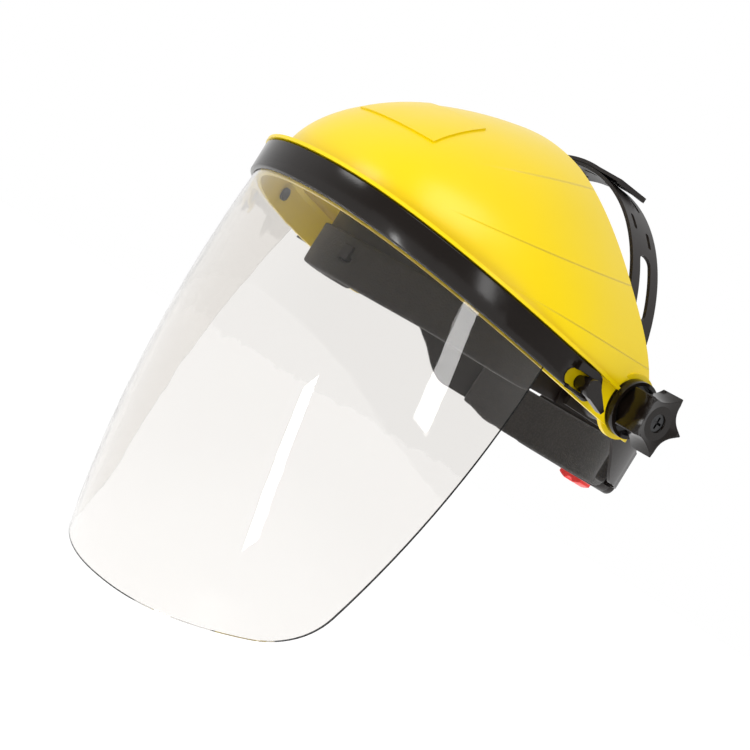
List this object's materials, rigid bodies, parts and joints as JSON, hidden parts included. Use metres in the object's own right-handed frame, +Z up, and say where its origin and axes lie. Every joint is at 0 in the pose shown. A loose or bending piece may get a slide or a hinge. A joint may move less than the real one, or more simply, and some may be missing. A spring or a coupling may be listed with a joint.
{
  "type": "face shield",
  "caption": "Head-worn face shield: a brow and crown guard with a clear wrap-round visor that tilts up on a headband adjusted by a ratchet at the nape.",
  "frame": {"origin": "middle of the tilt axis, on the wearer's midline between the two side knobs", "axes": "+X to the wearer's left, -Y forward out of the visor, +Z up through the crown"},
  "size_m": [0.2544, 0.2712, 0.2923],
  "materials": {
    "shell_yellow": "moulded, semi-gloss safety yellow",
    "gloss_black": "moulded, glossy black",
    "clear_visor": "clear polished sheet",
    "matte_black": "satin dark grey moulding",
    "foam_grey": "fine foam with a knitted face",
    "knob_red": "moulded, semi-gloss red",
    "screw_steel": "black-oxide steel"
  },
  "bodies": {
    "headgear": {"headband": "matte_black", "sweatband": "foam_grey", "peg_caps": "matte_black", "crown_strap_left": "matte_black", "pivot_block_left": "matte_black", "pivot_block_right": "matte_black", "pivot_nut_left": "screw_steel", "pivot_nut_right": "screw_steel", "friction_washer_left": "matte_black", "friction_washer_right": "matte_black", "nape_strap_left": "matte_black", "nape_strap_right": "matte_black"},
    "brow": {"brow_shell": "shell_yellow", "visor_band": "gloss_black", "band_studs": "gloss_black", "visor_lens": "clear_visor"},
    "knob_left": {"tilt_knob_left": "gloss_black", "pivot_screw_left": "screw_steel"},
    "knob_right": {"tilt_knob_right": "gloss_black", "pivot_screw_right": "screw_steel"},
    "lock_left": {"latch_left": "gloss_black"},
    "lock_right": {"latch_right": "gloss_black"},
    "crown": {"crown_strap_right": "matte_black", "crown_pegs": "matte_black"},
    "adjuster": {"ratchet_housing": "matte_black", "ratchet_cover": "matte_black", "nape_pad": "foam_grey"},
    "ratchet": {"ratchet_pinion": "matte_black", "ratchet_knob": "knob_red", "ratchet_screw": "screw_steel"},
    "slide_left": {"rack_left": "matte_black"},
    "slide_right": {"rack_right": "matte_black"}
  },
  "joints": [
    {"name": "brow_tilt", "type": "hinge", "parent": "headgear", "child": "brow", "pos_m": [0, 0, 0], "axis": [-1, 0, 0], "range_deg": [0, 85]},
    {"name": "crown_height", "type": "slide", "parent": "headgear", "child": "crown", "axis": [0, 0, 1], "range_m": [-0.015, 0], "deforming": ["crown_strap_left", "crown_strap_right"]},
    {"name": "nape_slide", "type": "slide", "parent": "headgear", "child": "adjuster", "axis": [0, -1, 0], "range_m": [-0.015, 0.005]},
    {"name": "ratchet_turn", "type": "hinge", "parent": "adjuster", "child": "ratchet", "pos_m": [0, 0.1, -0.0235], "axis": [0, 1, 0], "range_deg": [-48, 144]},
    {"name": "knob_left_turn", "type": "hinge", "parent": "headgear", "child": "knob_left", "pos_m": [0.105, 0, 0], "axis": [1, 0, 0], "range_deg": [0, 180]},
    {"name": "latch_left_turn", "type": "hinge", "parent": "brow", "child": "lock_left", "pos_m": [0.109, -0.037, -0.003], "axis": [1, 0, 0], "range_deg": [0, 90]},
    {"name": "rack_left_slide", "type": "slide", "parent": "headgear", "child": "slide_left", "axis": [-0.7071, -0.7071, 0], "range_m": [-0.0213, 0.0072], "deforming": ["nape_strap_left"]},
    {"name": "knob_right_turn", "type": "hinge", "parent": "headgear", "child": "knob_right", "pos_m": [-0.105, 0, 0], "axis": [-1, 0, 0], "range_deg": [0, 180]},
    {"name": "latch_right_turn", "type": "hinge", "parent": "brow", "child": "lock_right", "pos_m": [-0.109, -0.037, -0.003], "axis": [1, 0, 0], "range_deg": [0, 90]},
    {"name": "rack_right_slide", "type": "slide", "parent": "headgear", "child": "slide_right", "axis": [0.7071, -0.7071, 0], "range_m": [-0.0213, 0.0072], "deforming": ["nape_strap_right"]}
  ],
  "couplings": [
    {"joint": "ratchet_turn", "follows": "nape_slide", "rad_per_m": -166.67},
    {"joint": "rack_left_slide", "follows": "nape_slide", "ratio": 1.4142},
    {"joint": "rack_right_slide", "follows": "nape_slide", "ratio": 1.4142}
  ]
}
